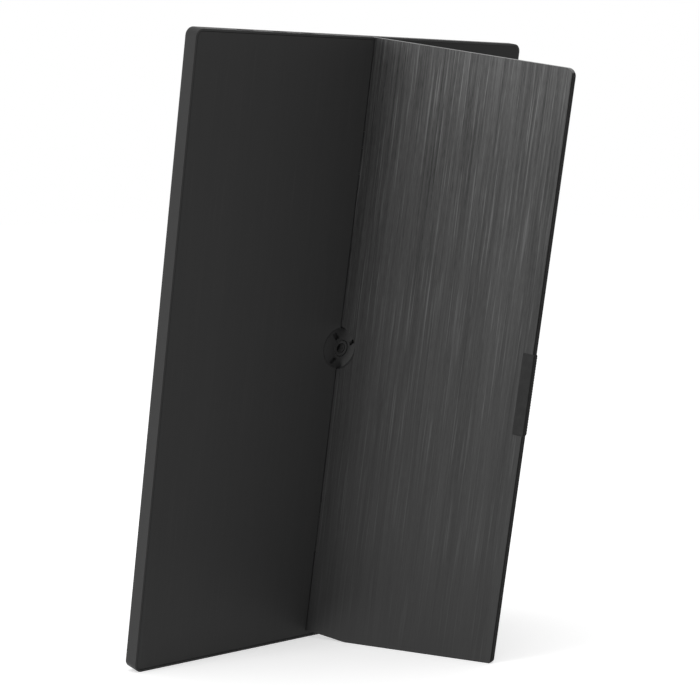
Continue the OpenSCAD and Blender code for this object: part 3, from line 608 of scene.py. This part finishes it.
def moulded_boss():
    """The boss: a flat face round the insert, a flank that falls away in a dome, and spanner notches."""
    low, high = flat_box("tripod_boss")
    centre = Vector(((low.x + high.x) / 2, 0, (low.z + high.z) / 2))
    outer = (high.x - low.x) / 2
    insert_low, insert_high = flat_box("tripod_insert")
    inner = (insert_high.x - insert_low.x) / 2
    face = inner + FACE_W
    notch_in, notch_out = outer * NOTCH_AT - NOTCH_L / 2, outer * NOTCH_AT + NOTCH_L / 2

    def level(r):
        if r <= face:
            return high.y - max(0.0, inner + BORE_CHAMFER - r)
        return high.y * (1 - ((r - face) / (outer - face)) ** DOME)

    def height(r, angle):
        away = min(abs((angle - t + math.pi) % math.tau - math.pi) for t in NOTCH_TURNS)
        inside = notch_in < r < notch_out and away * r < NOTCH_W / 2
        return NOTCH_FLOOR if inside else level(r)

    flank = [face + (outer - face) * i / FLANK_STEPS for i in range(FLANK_STEPS + 1)]
    notch = [notch_in, notch_in + NOTCH_WALL, notch_out - NOTCH_WALL, notch_out]
    radii = sorted({inner, inner + BORE_CHAMFER, *notch, *flank})
    rings = []
    for r in radii:
        ring = turned_ring(centre, 0, r, BOSS_STEPS)
        for i, p in enumerate(ring):
            p.y = height(r, math.tau * i / BOSS_STEPS)
        rings.append(ring)
    rings += [turned_ring(centre, low.y, outer, BOSS_STEPS), turned_ring(centre, low.y, inner, BOSS_STEPS)]
    place("tripod_boss_moulded", ring_mesh("tripod_boss_moulded", rings, "joined"), "tripod_boss", sharp=30)


CORNER_STEPS = 4


def rounded_outline(corners, radius):
    """A polygon's corners [(x, y)] in order, each rounded by a curve that starts and ends a radius away."""
    found = []
    count = len(corners)
    for i, corner in enumerate(corners):
        here = Vector(corner)
        before = (Vector(corners[i - 1]) - here).normalized()
        after = (Vector(corners[(i + 1) % count]) - here).normalized()
        start, end = here + before * radius, here + after * radius
        for k in range(CORNER_STEPS + 1):
            t = k / CORNER_STEPS
            found.append((1 - t) ** 2 * start + 2 * t * (1 - t) * here + t ** 2 * end)
    return found


RIB_PITCH = 1.6 * MM
RIB_DEPTH = 0.14 * MM
RIB_STEPS = 6
# How far a bar's end is drawn in, and the share of its thickness that it loses there
END_DROP = 0.6 * MM
END_TAPER = 0.12


def ribbed_bar(name, corners, radius, z0, z1, ribbed, end_slope):
    """A rubber bar of the given outline up the long side. ribbed(x) is the share of the ribs a point has."""
    outline = rounded_outline(corners, radius)
    middle = sum(outline, Vector((0, 0))) / len(outline)
    steps = int((z1 - z0) / RIB_PITCH * RIB_STEPS)
    rings = []
    for i in range(steps + 1):
        z = z0 + (z1 - z0) * i / steps
        from_end = min(z - z0, z1 - z)
        shrink = max(0.0, 1.0 - from_end / end_slope)
        wave = 0.5 - 0.5 * math.cos(math.tau * (z - z0) / RIB_PITCH)
        ring = []
        for p in outline:
            pull = shrink * END_DROP + (RIB_DEPTH * wave if from_end > end_slope else 0.0)
            ring.append(Vector((p.x + pull * ribbed(p.x), p.y + (middle.y - p.y) * END_TAPER * shrink, z)))
        rings.append(ring)
    return ring_mesh(name, rings, "capped")


# The grip: the level of its seat on the sheet, how far it reaches round the edge, and how deep its ribs go in
GRIP_SEAT_Y = -0.8 * MM
GRIP_BITE = 3.2 * MM
GRIP_EDGE = 0.35 * MM
GRIP_SLOPE = 0.9 * MM
GRIP_RIB_REACH = 1.2 * MM


def rubber_grip():
    """The grip on the cover's free edge: it wraps the edge, with sloped ends and fine ribs outside."""
    low, high = flat_box("grip_pad")
    bite = low.x + GRIP_BITE
    corners = [(low.x, low.y), (low.x, high.y), (high.x, high.y),
               (high.x, GRIP_SEAT_Y), (bite, GRIP_SEAT_Y), (bite, low.y)]
    mesh = ribbed_bar("grip_ribbed", corners, GRIP_EDGE, low.z, high.z,
                      lambda x: max(0.0, 1.0 - (x - low.x) / GRIP_RIB_REACH), GRIP_SLOPE)
    place("grip_ribbed", mesh, "grip_pad", sharp=50)


FOOT_L = 50 * MM
FOOT_EDGE = 0.25 * MM
FOOT_SLOPE = 0.5 * MM
FOOT_SOLE = 0.3 * MM


def rubber_feet():
    """The two rubber strips under the chin's long side."""
    low, high = flat_box("foot_strips")
    corners = [(low.x, low.y), (low.x, high.y), (high.x, high.y), (high.x, low.y)]
    strips = [ribbed_bar("strip", corners, FOOT_EDGE, z, z + FOOT_L,
                         lambda x: 1.0 if x < low.x + FOOT_SOLE else 0.0, FOOT_SLOPE)
              for z in (low.z, high.z - FOOT_L)]
    place("foot_strips_ribbed", joined("foot_strips_ribbed", strips), "foot_strips", sharp=50)


def soft_box(low, high, edge):
    """A box with rounded edges, as a mesh."""
    shape = bmesh.new()
    bmesh.ops.create_cube(shape, size=1.0)
    for v in shape.verts:
        v.co = Vector(low[i] if v.co[i] < 0 else high[i] for i in range(3))
    bmesh.ops.bevel(shape, geom=shape.edges[:], offset=edge, segments=2, profile=0.5, affect="EDGES")
    mesh = bpy.data.meshes.new("soft_box")
    shape.to_mesh(mesh)
    shape.free()
    return mesh


def islands(node):
    """The boxes of a CAD node's separate solids in the flat frame, from -X to +X."""
    into = HOME[body(node)].inverted()
    shape = bmesh.new()
    shape.from_mesh(frame["nodes"][node].data)
    bmesh.ops.remove_doubles(shape, verts=shape.verts, dist=0.001 * MM)
    left = set(shape.verts)
    found = []
    while left:
        reached = [left.pop()]
        for v in reached:
            for e in v.link_edges:
                other = e.other_vert(v)
                if other in left:
                    left.remove(other)
                    reached.append(other)
        found.append(extent([into @ v.co for v in reached]))
    shape.free()
    return sorted(found, key=lambda b: b[0].x)


TONGUE_EDGE = 0.1 * MM
CONTACT_W = 0.3 * MM
CONTACT_PITCH = 0.5 * MM
CONTACT_T = 0.04 * MM
CONTACT_EDGE = 0.015 * MM
# Bare stretches of a tongue: at both sides of the row together, at its root and at its tip
BARE_SIDES = 0.8 * MM
BARE_ROOT = 2 * MM
BARE_TIP = 0.7 * MM


def port_contacts():
    """The plastic tongues of the sockets, with their rows of contacts on both sides."""
    tongues, contacts = [], []
    for low, high in islands("port_tongues"):
        tongues.append(soft_box(low, high, TONGUE_EDGE))
        count = int((high.x - low.x - BARE_SIDES) / CONTACT_PITCH)
        for i in range(count):
            x = (low.x + high.x) / 2 + (i - (count - 1) / 2) * CONTACT_PITCH
            for y in (low.y, high.y):
                contacts.append(soft_box((x - CONTACT_W / 2, y - CONTACT_T, low.z + BARE_ROOT),
                                         (x + CONTACT_W / 2, y + CONTACT_T, high.z - BARE_TIP), CONTACT_EDGE))
    place("port_tongues_soft", joined("port_tongues_soft", tongues), "port_tongues")
    place("port_contacts", joined("port_contacts", contacts), "port_tongues", slot="port_steel", hides=False)


threaded_insert()
moulded_boss()
rubber_grip()
rubber_feet()
port_contacts()


# ---------- Stage ----------

FLOOR_SIZE = 12.0
FLOOR_LEVEL = 0.92
# What is added to the floor where the camera, gloss or glass sees it, and the world's light on everything
FLOOR_LIFT = 0.48
WORLD_LEVEL = 0.6
# The camera, as solved from the photograph's straight edges
CAMERA_AIM = Vector((0.0196, -0.0193, 0.1799))
CAMERA_AT = Vector((0.7556, 0.8059, 0.2903))
CAMERA_LENS = 101.64
CAMERA_SENSOR = 36.0


def seen_plainly(tree, plain, lit):
    """A value that is plain for what the camera, gloss and glass see, and lit for everything else."""
    path = tree.nodes.new("ShaderNodeLightPath")
    seen = None
    for ray in ("Is Camera Ray", "Is Glossy Ray", "Is Transmission Ray"):
        if seen is None:
            seen = path.outputs[ray]
            continue
        either = tree.nodes.new("ShaderNodeMath")
        either.operation = "MAXIMUM"
        tree.links.new(seen, either.inputs[0])
        tree.links.new(path.outputs[ray], either.inputs[1])
        seen = either.outputs[0]
    ranged = tree.nodes.new("ShaderNodeMapRange")
    ranged.inputs["To Min"].default_value = lit
    ranged.inputs["To Max"].default_value = plain
    tree.links.new(seen, ranged.inputs["Value"])
    return ranged.outputs["Result"]


def floor():
    mesh = bpy.data.meshes.new("floor")
    half = FLOOR_SIZE / 2
    corners = [(-half, -half, 0), (half, -half, 0), (half, half, 0), (-half, half, 0)]
    mesh.from_pydata(corners, [], [(0, 1, 2, 3)])
    piece = bpy.data.objects.new("floor", mesh)
    bpy.context.scene.collection.objects.link(piece)
    material = bpy.data.materials.new("pale_floor")
    material.use_nodes = True
    tree = material.node_tree
    shader = tree.nodes["Principled BSDF"]
    shader.inputs["Base Color"].default_value = (FLOOR_LEVEL,) * 3 + (1,)
    shader.inputs["Roughness"].default_value = 1.0
    shader.inputs["Specular IOR Level"].default_value = 0.0
    shader.inputs["Emission Color"].default_value = (1, 1, 1, 1)
    tree.links.new(seen_plainly(tree, FLOOR_LIFT, 0.0), shader.inputs["Emission Strength"])
    mesh.materials.append(material)


def world():
    made = bpy.data.worlds.new("studio")
    bpy.context.scene.world = made
    made.use_nodes = True
    sky = made.node_tree.nodes["Background"]
    sky.inputs["Color"].default_value = (1, 1, 1, 1)
    made.node_tree.links.new(seen_plainly(made.node_tree, 1.0, WORLD_LEVEL), sky.inputs["Strength"])


def lamp(name, at, aim, size, power):
    light = bpy.data.lights.new(name, "AREA")
    light.energy = power
    light.size = size
    piece = bpy.data.objects.new(name, light)
    piece.location = at
    piece.rotation_euler = (Vector(aim) - Vector(at)).to_track_quat("-Z", "Y").to_euler()
    bpy.context.scene.collection.objects.link(piece)


def camera():
    lens = bpy.data.cameras.new("camera")
    lens.sensor_width = CAMERA_SENSOR
    lens.lens = CAMERA_LENS
    lens.clip_start = 0.01
    lens.clip_end = 100.0
    piece = bpy.data.objects.new("camera", lens)
    piece.location = CAMERA_AT
    piece.rotation_euler = (CAMERA_AIM - CAMERA_AT).to_track_quat("-Z", "Y").to_euler()
    bpy.context.scene.collection.objects.link(piece)
    bpy.context.scene.camera = piece


floor()
world()
lamp("side_box", at=(1.9, -0.25, 0.6), aim=(0.05, 0.05, 0.3), size=0.6, power=12.0)
lamp("top_box", at=(0.2, 0.2, 2.4), aim=(0, 0, 0.2), size=1.6, power=10.0)
camera()

bpy.context.scene.view_settings.view_transform = "Standard"
